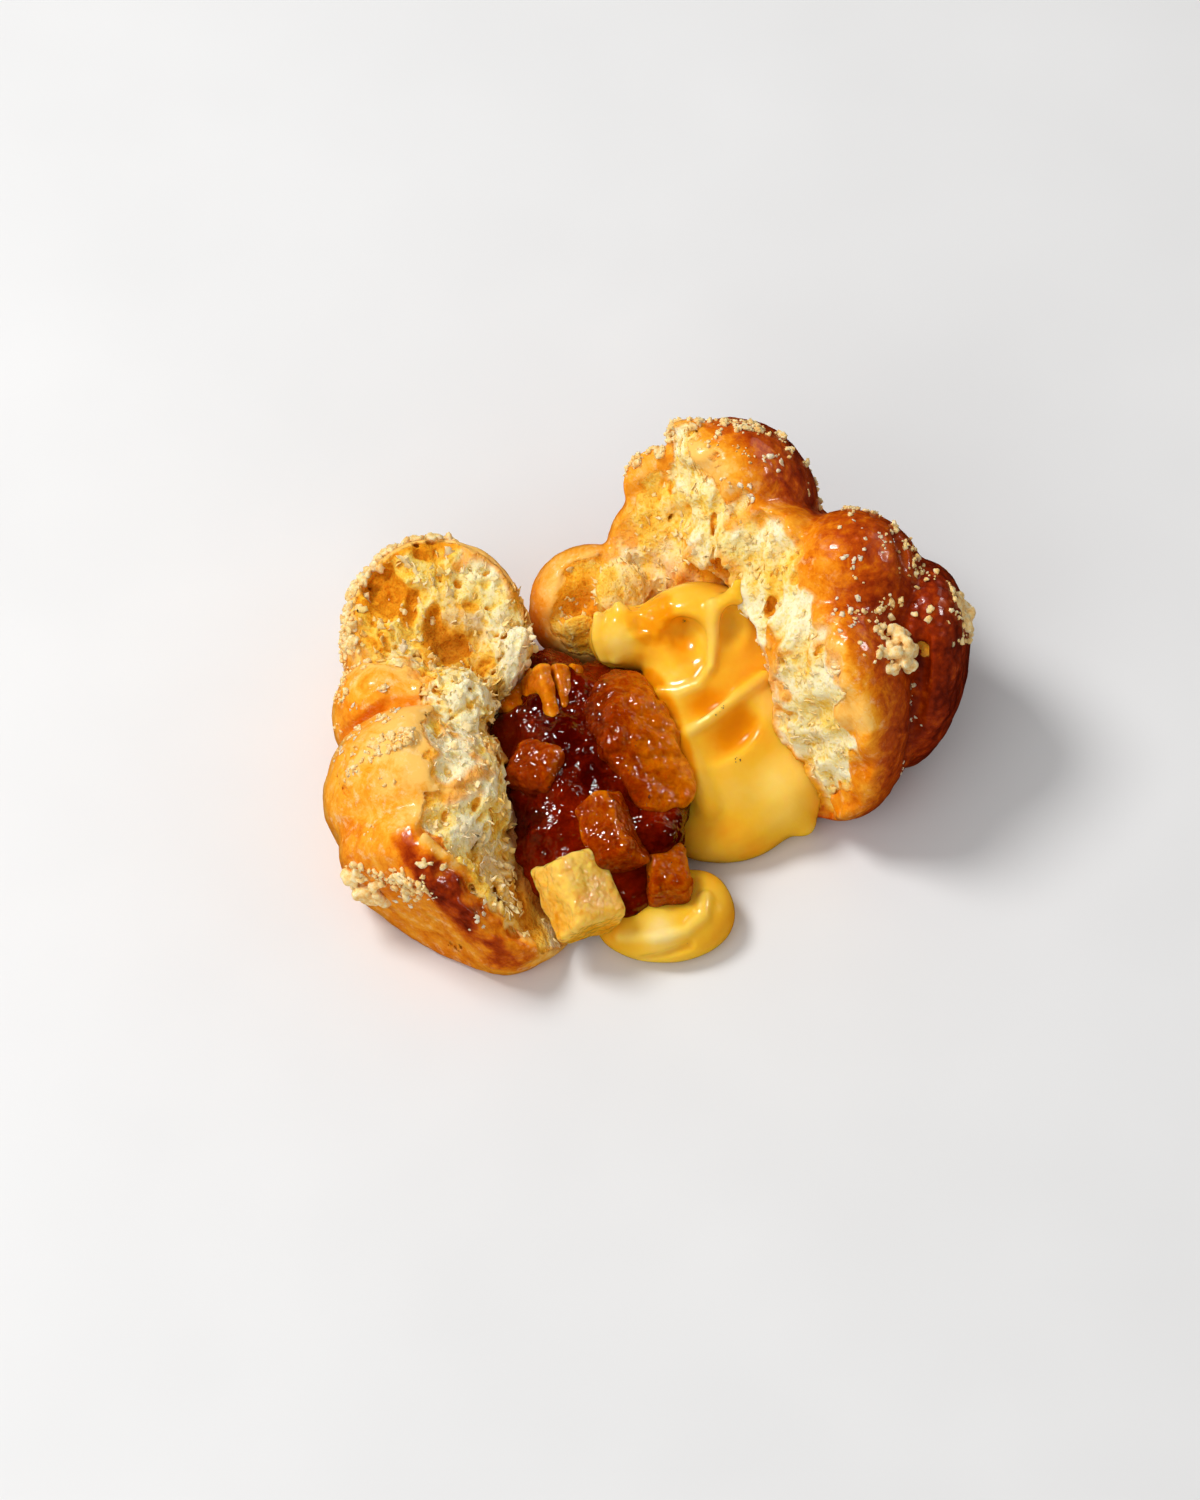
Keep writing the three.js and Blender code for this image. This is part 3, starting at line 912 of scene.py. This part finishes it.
def custard_look():
    look = Look(
        "custard", Roughness=0.24, IOR=1.42, Specular_IOR_Level=0.15, Coat_Weight=0.6, Coat_Roughness=0.06,
    )
    glow(look, 0.7, 2.2, (1.0, 0.5, 0.06))
    # The custard's tone attribute holds painted shade in its hollows and a painted highlight on its crests,
    # besides stains and random tone.
    tone = look.add(look.attribute("amber_and_painted_light"), look.wander(look.grain(8.0, 3.0), 0.16))
    look.colour(
        tone,
        (0.0, "FFDE92"), (0.2, "FFCF5C"), (0.4, "FCBE30"), (0.6, "F09604"), (0.8, "D87402"), (1.0, "B45202"),
    )
    look.set("Normal", look.bump(look.grain(2.6, 2.0), 0.12))
    return look.material


def syrupy_look(name, shine, *stops):
    """Fruit under syrup. Its stew attribute runs along the colours, and small wet bumps sparkle."""
    look = Look(name, Roughness=0.4, Specular_IOR_Level=0.0, Coat_Weight=shine, Coat_Roughness=0.05)
    glow(look, 0.75, 2.4, (1.0, 0.35, 0.06))
    tone = look.add(look.attribute("stew"), look.wander(look.grain(3.2, 4.0, 0.6, 0.8), 0.3))
    tone = look.add(tone, look.wander(look.grain(0.9, 3.0, 0.6), 0.12))
    look.colour(tone, *stops)
    coarse = look.bump(look.grain(2.2, 1.0, 0.5, 0.5), 0.6)
    wet = look.bump(look.grain(1.0, 0.0), 0.3, coarse)
    look.set("Normal", wet)
    look.set("Coat Normal", wet)
    return look.material


def crumble_look():
    look = Look("crumble", Roughness=0.7)
    glow(look, 0.25, 0.5, (1.0, 0.7, 0.4))
    grain = look.grain(1.1, 4.0, 0.6)
    look.colour(grain, (0.3, "EAAE56"), (0.5, "FFD68A"), (0.7, "FFF0C6"))
    look.set("Normal", look.bump(look.grain(0.35, 3.0), 0.15))
    return look.material


def flake_look():
    look = Look("sugar flakes", Roughness=0.3)
    glow(look, 0.4, 0.5, (1.0, 0.8, 0.6))
    look.colour(look.grain(1.0, 3.0), (0.3, "F0C890"), (0.7, "FDEBCB"))
    look.set("Normal", look.bump(look.grain(0.4, 2.0), 0.08))
    return look.material


def speck_look():
    look = Look("vanilla specks", Roughness=0.4)
    look.colour(look.grain(0.2, 2.0), (0.3, "150B06"), (0.7, "2A180C"))
    return look.material


# ---------------- pieces


def finish(piece, look, slot, *nodes):
    piece.data.materials.clear()
    piece.data.materials.append(look)
    piece.data.polygons.foreach_set("use_smooth", np.ones(len(piece.data.polygons), bool))
    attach(piece, "root")
    if nodes:
        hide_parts(*nodes)
    return piece


def node_box(node, slack):
    low, high = (np.array(corner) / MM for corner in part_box(node))
    return low - slack, high + slack


def soaked(points, distance, reach, spots, salt):
    """How far a filling has soaked in: 1 beside it or in the middle of a spot, 0 out of its reach."""
    ragged = 0.45 * reach * noise(points, 2.4, salt)
    amount = 1 - step(0.2, reach, distance + ragged)
    for centre, radius, strength in spots:
        beyond_spot = (ellipsoid(points, centre, (radius,) * 3) + 2 * ragged) / radius
        amount = np.maximum(amount, strength * (1 - step(-0.6, 0.4, beyond_spot)))
    return amount


def near_paths(points, paths, reach):
    """1 on any of the paths, down to 0 at reach from them."""
    closest = np.full(len(points), 99, np.float32)
    for path in paths:
        closest = np.minimum(closest, stroke(points, path, 0))
    return 1 - step(0.3 * reach, reach, closest)


def custard_tone(points, crests_on_it):
    """How deep the custard's colour is: pale on the thin foot, with a painted highlight on crests; deeper in
    hollows, painted shade; and deeper by fruit, partly a jam stain and partly painted shade.
    """
    tone = 0.41 + 0.14 * noise(points, 9.0, 44)
    # Deeper where the custard lies below its plain mounds, in the scoops: painted shade.
    tone += 0.09 * np.clip(-plain_custard(points), 0, 4) * (1 - step(24, 28, points[:, 2]))
    # Deeper by the lump: partly a jam stain, partly painted shade beside it.
    fruit = 1 - step(0.2, 4.0, mounds(points, LUMP_MOUNDS, MOUND_BLEND))
    sponge = step(1.5, -1.5, ellipsoid(points, *FILM))
    tone = np.maximum(tone, np.maximum(0.7 * fruit, 0.56 * sponge))
    for centre, radius in PALE_SPOTS:
        tone -= 0.3 * (1 - step(0.2, 1.1, away(points, centre, radius)))
    # Paler along the crests: a painted highlight.
    tone -= 0.2 * near_paths(points, [path for path, _, _ in crests_on_it], 1.8)
    return np.clip(tone - 0.1 * (1 - step(1.0, 4.0, points[:, 2])), 0, 1)


def bread_piece(node, half, look):
    """One half, with how it is baked, torn and soaked stored at each vertex."""
    low, high = node_box(node, 2.5)

    def torn_share(p):
        return 0.7 * step(0.2, 1.0, -plain_bread(p, half)[1])

    piece = field_piece(node + "_crumb", bread(half), low, high, BREAD_VOXEL, BREAD_FACES, torn_share)
    points = vertices(piece)
    body, whole = plain_bread(points, half)
    depth = skin_depth(points, whole, half["patches"]) + 0.25 * noise(points, 1.1, 18)
    store(piece, "crust", 1 - step(0.5, CRUST_THICKNESS, depth))
    store(piece, "under", 0.85 * (1 - step(CRUST_THICKNESS, CRUST_THICKNESS + 1.8, depth)))
    fan = fanned(points, half["root"])
    amber_and_painted_light = half["golden"] * step(0.0, 0.8, noise(fan, 3.6, 41) + 0.6 * noise(fan, 1.6, 42))
    # Crumb below the plain torn surface is a deeper amber: painted shade in its hollows.
    amber_and_painted_light += 0.85 * np.clip((0.1 - body) / 2.1, 0, 1) + soaked(points, 99, 1, half["toast"], 43)
    store(piece, "deep", np.clip(amber_and_painted_light, 0, 1))
    weights = total = 0
    for shape in half["lobes"].values():
        weight = np.exp(-np.maximum(ellipsoid(points, shape["centre"], shape["radii"]), -2) / 2.5)
        tone = shape["bake"]
        for point, facing in shape.get("tears", ()):
            tone = tone - 0.36 * np.exp(-np.maximum(-beyond(points, point, facing), 0) / 5.0)
        weights = weights + weight
        total = total + weight * tone
    bake = total / weights - 0.35 * near_paths(points, half["rims"], 2.4)
    for centre, radius, shift in half["bake_spots"]:
        far = away(points, centre, radius) + 0.35 * noise(points, 3.0, 45)
        bake += shift * (1 - step(0.4, 1.3, far))
    store(piece, "bake", np.minimum(bake, 0.95))
    store(piece, "custardy", soaked(points, plain_custard(points), 2.4, half["custard_spots"], 13))
    store(piece, "jammy", 0.85 * soaked(points, plain_compote(points), 3.4, half["jam_spots"], 14))
    return finish(piece, look, "bread", node)


def filling_piece(node, name, field, look, slot, budget, slack=2.0):
    low, high = node_box(node, slack)
    piece = field_piece(name, field, low, high, FILLING_VOXEL, budget)
    return finish(piece, look, slot, node)


def rough_balls(name, places, normals, sizes, flatness, fine, rng):
    """One mesh of small irregular lumps, each set a little into the surface under it."""
    ball = bmesh.new()
    bmesh.ops.create_icosphere(ball, subdivisions=fine, radius=1.0)
    points = np.array([v.co[:] for v in ball.verts])
    faces = np.array([[v.index for v in f.verts] for f in ball.faces])
    ball.free()
    every, corners = [], []
    for i, (place, normal, size) in enumerate(zip(places, normals, sizes)):
        salt = float(rng.uniform(0, 60))
        rough = 0.45 * noise((points * 2.4 + salt).astype(np.float32), 1.0)
        sides = unit(rng.normal(size=(9, 3)))
        chipped = np.min(rng.uniform(0.4, 0.9, 9) / np.maximum(points @ sides.T, 0.05), axis=1)
        shape = points * (np.minimum(chipped, 1.15) + rough)[:, None]
        shape = shape * rng.uniform(0.75, 1.3, 3) * (1, 1, flatness)
        spun = Matrix.Rotation(rng.uniform(0, 2 * math.pi), 3, "Z")
        upward = Vector(normal) + Vector(rng.normal(size=3) * 0.25)
        lean = Vector((0, 0, 1)).rotation_difference(upward).to_matrix()
        shape = shape @ np.array(spun).T @ np.array(lean).T
        every.append(place + size * (shape + 0.35 * flatness * np.array(normal)))
        corners.append(faces + i * len(points))
    return new_mesh(name, np.concatenate(every), np.concatenate(corners))


def shreds(name, piece, half, count, lengths, look, rng):
    """Torn membranes of crumb: thin, curved, pointed leaves that stand out of the torn surface."""
    points = vertices(piece)
    body, whole = plain_bread(points, half)
    open_crumb = (points[:, 2] > 2.0) & (body > -1.2) & (plain_custard(points) > 1.5)
    open_crumb &= skin_depth(points, whole, half["patches"]) > 1.6
    open_crumb &= plain_compote(points) > 1.5
    chosen = rng.choice(np.flatnonzero(open_crumb), count, replace=False)
    outward = at_vertices(piece, "normal")[chosen]
    ahead = unit(points[chosen] - at(half["root"]))
    ahead = unit(0.9 * ahead + 0.25 * outward + 0.45 * rng.normal(size=(count, 3)))
    across = unit(np.cross(ahead, outward + 0.5 * rng.normal(size=(count, 3))))
    upward = np.cross(across, ahead)
    length = rng.uniform(*lengths, count)
    width = length * rng.uniform(0.35, 0.75, count)
    bend = rng.uniform(-0.9, 0.9, count)
    cup = rng.uniform(0.2, 0.7, count)
    rows = np.linspace(0, 1, SHRED_ROWS).repeat(3)
    columns = np.tile([-1.0, 0.0, 1.0], SHRED_ROWS)
    taper = (1 - rows) ** 0.6 * (0.55 + 0.45 * rows) + 0.02
    ragged = 1 + 0.35 * rng.normal(size=(count, len(rows)))
    sideways = width[:, None] * columns * taper * ragged
    rise = 0.5 * length[:, None] * bend[:, None] * rows ** 2
    rise += cup[:, None] * width[:, None] * columns ** 2 * taper
    forward = length[:, None] * (rows - 0.25 + 0.12 * rng.normal(size=(count, len(rows))) * rows)
    middle = points[chosen][:, None] + forward[..., None] * ahead[:, None]
    middle = middle + sideways[..., None] * across[:, None] + rise[..., None] * upward[:, None]
    thickness = SHRED_THICKNESS / 2 * upward[:, None]
    leaf = np.concatenate([middle + thickness, middle - thickness], axis=1)
    leaf[:, :, 2] = np.maximum(leaf[:, :, 2], 0.3)
    top = [(a, a + 3, a + 4, a + 1) for row in range(SHRED_ROWS - 1) for a in (3 * row, 3 * row + 1)]
    half_count = len(rows)
    under = [tuple(half_count + v for v in reversed(face)) for face in top]
    ring = [3 * row for row in range(SHRED_ROWS)] + [half_count - 2]
    ring += [3 * row + 2 for row in reversed(range(SHRED_ROWS))] + [1]
    sides = [(a, b, half_count + b, half_count + a) for a, b in zip(ring, ring[1:] + ring[:1])]
    faces = np.array(top + under + [tuple(reversed(side)) for side in sides])
    every = faces[None] + (np.arange(count) * 2 * half_count)[:, None, None]
    leaves = new_mesh(name, leaf.reshape(-1, 3), np.zeros((0, 3), int), every.reshape(-1, 4))
    # Leaves rooted further below the plain torn surface are a deeper amber: painted shade.
    store(leaves, "deep", np.repeat(np.clip((0.8 - body[chosen]) / 4.5, 0, 1), 2 * half_count))
    return finish(leaves, look, "bread")


def skin_tree(pieces):
    """The surfaces of several pieces as one tree to look up, in millimetres."""
    points, faces = [], []
    start = 0
    for piece in pieces:
        mesh = piece.data
        points += vertices(piece).tolist()
        faces += [[start + v for v in face.vertices] for face in mesh.polygons]
        start = len(points)
    return BVHTree.FromPolygons(points, faces)


CLUSTER = 5  # lumps that lie together
CLUSTER_SPREAD = 1.0


def settle(tree, path, spread, count, rng):
    """Places and normals on a surface, scattered in clusters round a path of layout points."""
    stops = np.array([at(point) for point in path])
    along = rng.uniform(0, len(stops) - 1, (count + CLUSTER - 1) // CLUSTER)
    base = np.minimum(along.astype(int), max(len(stops) - 2, 0))
    ahead = stops[np.minimum(base + 1, len(stops) - 1)]
    middles = stops[base] + (along - base)[:, None] * (ahead - stops[base])
    middles = (middles + rng.normal(size=middles.shape) * spread).repeat(CLUSTER, axis=0)[:count]
    places, normals = [], []
    for middle in middles:
        hit, normal, _, _ = tree.find_nearest(Vector(middle + rng.normal(size=3) * CLUSTER_SPREAD))
        if hit is not None and hit.z > 1.0:
            places.append(np.array(hit))
            normals.append(np.array(normal))
    return places, normals


# What is strewn, in rows: a path over the surface, how far the lumps spread from it, how many there
# are, and their smallest and largest radius.
CRUMBLE = [
    ([(12, 47, 52), (20, 46, 53), (28, 43, 49)], 1.8, 130, (0.3, 1.0)),
    ([(12, 44, 54), (24, 40, 53)], 3.0, 50, (0.2, 0.6)),
    ([(36, 36, 44), (44, 25, 50), (53, 19, 48), (59, 10, 45)], 2.0, 110, (0.25, 0.8)),
    ([(40, 22, 52), (50, 8, 48)], 3.2, 50, (0.2, 0.55)),
    ([(50, -3, 46), (51, 3, 47)], 3.0, 80, (0.3, 1.1)),
    ([(61, 6, 42), (63, 9, 37)], 2.6, 80, (0.3, 1.0)),
    ([(41, -8, 45), (46, -6, 46)], 2.2, 30, (0.3, 1.1)),
    ([(-60, 8, 28), (-59, 22, 29), (-53, 31, 31), (-44, 35, 32), (-38, 35, 33)], 1.1, 520, (0.4, 1.3)),
    ([(-4, 46, 38), (1, 48, 43), (7, 47, 48)], 1.4, 110, (0.3, 0.9)),
    ([(-60, 14, 24), (-60, -2, 24)], 1.8, 120, (0.25, 0.9)),
    ([(-48, -9, 36), (-58, -14, 30)], 2.5, 40, (0.25, 0.8)),
    ([(-57, -22, 30), (-50, -20.5, 35.4), (-45, -19.5, 38)], 0.8, 110, (0.3, 0.9)),
    ([(-58, -37, 18), (-50, -43, 22), (-42, -47, 26)], 2.2, 150, (0.3, 1.1)),
    ([(-55, -18, 32), (-52, -32, 30)], 4.0, 30, (0.2, 0.5)),
    ([(20, 55, 30), (40, 44, 34), (60, 24, 30)], 5.0, 130, (0.25, 1.0)),
    ([(-40, 36, 20), (-62, 12, 16)], 4.5, 60, (0.25, 0.8)),
]
FLAKES = [
    ([(28, 43, 49), (30, 37, 48), (23.6, 37, 53), (21.8, 31, 52)], 0.8, 12, (0.6, 1.2)),
    ([(40, 14, 54), (38, 0, 49)], 3.0, 26, (0.3, 0.8)),
    ([(50, 12, 48), (46, 20, 50)], 3.0, 26, (0.3, 0.8)),
    ([(-30, -51, 24), (-50, -43, 20)], 3.5, 26, (0.3, 0.7)),
    ([(-56, -18, 30), (-50, -12, 34)], 4.0, 40, (0.3, 0.8)),
    ([(46, -14, 30), (56, -8, 24)], 5.0, 20, (0.3, 0.6)),
]
SPECKS = [
    ([(6, 10, 26), (16, -12, 18), (14, -22, 9)], 5.0, 26, (0.1, 0.2)),
    ([(0, -40, 8), (12, -38, 9)], 4.0, 7, (0.1, 0.2)),
    ([(-2, -6, 28), (3, -24, 24), (5, -36, 15)], 5.0, 26, (0.1, 0.2)),
    ([(-11, -40, 20), (-18, -12, 22), (-16, 4, 21)], 4.0, 14, (0.1, 0.2)),
]


def scatter(name, tree, spots, flatness, fine, look, slot, rng, skew=2.2):
    """Lumps strewn along the spots' paths. The higher skew is, the fewer of them are large."""
    places, normals, sizes = [], [], []
    for path, spread, count, (small, large) in spots:
        found, facing = settle(tree, path, spread, count, rng)
        places += found
        normals += facing
        sizes += (small + (large - small) * rng.uniform(0, 1, len(found)) ** skew).tolist()
    return finish(rough_balls(name, places, normals, sizes, flatness, fine, rng), look, slot)


rng = np.random.default_rng(SEED)

bread_material = bread_look()
left_bread = bread_piece("bread_left", LEFT, bread_material)
right_bread = bread_piece("bread_right", RIGHT, bread_material)
shred_material = shred_look()
shreds("torn_shreds_left", left_bread, LEFT, 400, (0.8, 2.4), shred_material, rng)
shreds("torn_shreds_right", right_bread, RIGHT, 320, (0.8, 2.0), shred_material, rng)

custard_material = custard_look()
custard_piece = filling_piece(
    "custard", "custard_pool", custard, custard_material, "custard", POOL_FACES, 5.0,
)
spots = vertices(custard_piece)
store(custard_piece, "amber_and_painted_light", custard_tone(spots, CUSTARD_CRESTS))
dollop_piece = filling_piece(
    "custard_dollop", "custard_spoonful", dollop, custard_material, "custard", SMALL_FACES,
)
spots = vertices(dollop_piece)
store(dollop_piece, "amber_and_painted_light", custard_tone(spots, [DOLLOP_CREST]))

compote_material = syrupy_look("compote", 1.0, (0.0, "C05000"), (0.35, "801600"), (0.7, "420200"))
apple_material = syrupy_look(
    "apple", 1.0, (0.0, "FFCC5C"), (0.28, "F0A01C"), (0.52, "CC6A02"), (0.78, "983200"), (1.0, "5A0C00"),
)
compote_piece = filling_piece("compote", "compote_syrup", compote, compote_material, "compote", POOL_FACES)
spots = vertices(compote_piece)
store(compote_piece, "stew", np.clip(0.55 - 0.25 * noise(spots, 6.5, 38), 0, 1))
lump_piece = filling_piece(
    "apple_lump_dark", "apple_caramelised", apple_lump, apple_material, "dark_apple", LUMP_FACES,
)
spots = vertices(lump_piece)
store(lump_piece, "stew", np.clip(0.98 - 0.026 * (spots[:, 0] + 10) - 0.015 * (spots[:, 2] - 20), 0, 1))
wet_pieces = [custard_piece, dollop_piece, lump_piece]
for node, shape in APPLE.items():
    piece = filling_piece(node, node + "_cut", dice(shape), apple_material, "apple", DICE_FACES, 1.5)
    spots = vertices(piece)
    local = np.abs((spots - at(shape["centre"])) @ turn(shape["tilt"])) - np.array(shape["size"]) / 2
    edge = step(-1.8, -0.3, np.sort(local, axis=1)[:, 1])
    height = spots[:, 2] - at(shape["centre"])[2]
    store(piece, "stew", np.clip(shape["stew"] - 0.02 * height - 0.16 * edge, 0, 1))
    wet_pieces.append(piece)

crumble_material = crumble_look()
for node, shape in CLUMPS.items():
    heap = clump(*shape, rng)
    filling_piece(node, node + "_granules", heap, crumble_material, "crumble", SMALL_FACES, 1.5)
bread_tree = skin_tree([left_bread, right_bread])
scatter("crumble_granules", bread_tree, CRUMBLE, 0.8, GRANULE_FINE, crumble_material, "crumble", rng)
scatter("sugar_flakes", bread_tree, FLAKES, 0.25, GRANULE_FINE, flake_look(), "crumble", rng)
filling_tree = skin_tree(wet_pieces)
scatter("vanilla_specks", filling_tree, SPECKS, 0.8, 1, speck_look(), "custard", rng, skew=1)

# ---------------- stage

CAMERA_HEIGHT = 56  # degrees above the table
CAMERA_DISTANCE = 1.5  # metres, far enough for a flat perspective
LOOKED_AT = (-9.92, 3.15, 0)
LENS = 177.3
FLOOR_SIZE = 3.0  # metres
# Each light's name, azimuth and height in degrees, distance and size in metres, power in watts and
# colour, whether wet surfaces mirror it, and whether it lights anything.
LIGHTS = [
    ("window", 250, 56, 1.1, 0.42, 7.6, "FFFFFF", False, True),
    ("fill", 330, 40, 1.5, 1.4, 7.0, "FFFFFF", False, True),
    ("glint", 236, 50, 1.1, 0.19, 6.0, "FFFFFF", True, False),
    ("glint right", 106, 39, 1.1, 0.13, 2.0, "FFFFFF", True, False),
    ("rim", 138, 34, 1.3, 0.5, 1.2, "FFF6F0", True, False),
]


def make_camera():
    """Looks down at the open bun from the front."""
    height = math.radians(CAMERA_HEIGHT)
    looked_at = Vector(LOOKED_AT) * MM
    camera = new_object("camera", bpy.data.cameras.new("camera"))
    camera.data.lens = LENS
    camera.location = looked_at + CAMERA_DISTANCE * Vector((0, -math.cos(height), math.sin(height)))
    camera.rotation_euler = (math.pi / 2 - height, 0, 0)
    bpy.context.scene.camera = camera


def make_light(name, azimuth, height, distance, size, power, colour, mirrored, lights):
    """A round softbox that faces the origin."""
    lamp = bpy.data.lights.new(name, "AREA")
    lamp.shape = "DISK"
    lamp.size = size
    lamp.energy = power
    lamp.color = rgba(colour)[:3]
    light = new_object(name, lamp)
    light.visible_glossy = mirrored
    light.visible_diffuse = lights
    a, h = math.radians(azimuth), math.radians(height)
    light.location = distance * Vector((math.sin(a) * math.cos(h), -math.cos(a) * math.cos(h), math.sin(h)))
    light.rotation_euler = (-light.location).to_track_quat("-Z", "Y").to_euler()


def make_stage():
    """A plain pale floor under a pale world."""
    bpy.ops.mesh.primitive_plane_add(size=FLOOR_SIZE, location=(0, 0, 0))
    floor = bpy.context.active_object
    floor.name = "floor"
    look = Look("pale surface", Roughness=0.42)
    look.colour(look.grain(60.0, 2.0), (0.3, "E5E4E3"), (0.7, "E9E8E7"))
    floor.data.materials.append(look.material)
    floor.visible_glossy = False
    world = bpy.data.worlds.new("studio")
    bpy.context.scene.world = world
    world.use_nodes = True
    sky = world.node_tree.nodes["Background"]
    sky.inputs["Color"].default_value = (0.98, 0.99, 1.0, 1)
    sky.inputs["Strength"].default_value = 0.42
    world.cycles_visibility.glossy = False


make_camera()
make_stage()
for light_row in LIGHTS:
    make_light(*light_row)
bpy.context.scene.view_settings.view_transform = "Standard"
bpy.context.scene.cycles.use_denoising = True
